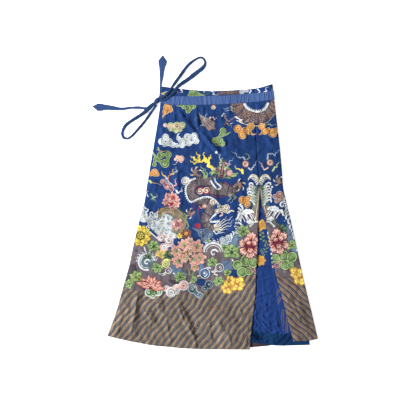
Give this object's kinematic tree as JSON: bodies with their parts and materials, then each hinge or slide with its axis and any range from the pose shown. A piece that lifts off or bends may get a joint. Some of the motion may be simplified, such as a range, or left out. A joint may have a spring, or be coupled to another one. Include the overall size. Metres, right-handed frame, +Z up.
{
  "type": "apron skirt",
  "caption": "Long printed wrap-around apron skirt laid flat, open down one side of the front over an inner panel, with a gathered waist tie knotted in a side bow.",
  "frame": {"origin": "middle of the bounding box seen from above, on the surface that the skirt lies on", "axes": "+Y along the skirt from hem to waist, +X towards the side with the slit, +Z up off the surface"},
  "size_m": [0.7, 0.9132, 0.0111],
  "materials": {
    "printed_silk": "printed satin weave with a soft sheen",
    "plain_lining": "plain thin lining, slightly crumpled",
    "tie_cloth": "printed satin weave, gathered"
  },
  "bodies": {
    "root": {"back_panel": "printed_silk", "left_front": "printed_silk", "right_front": "printed_silk", "underlap_printed": "printed_silk", "underlap_plain": "plain_lining", "slit_facing": "plain_lining", "tie_front": "tie_cloth", "tie_back": "tie_cloth", "knot": "tie_cloth", "upper_loop": "tie_cloth", "lower_loop": "tie_cloth", "upper_tail": "tie_cloth", "side_tail": "tie_cloth"}
  },
  "joints": []
}
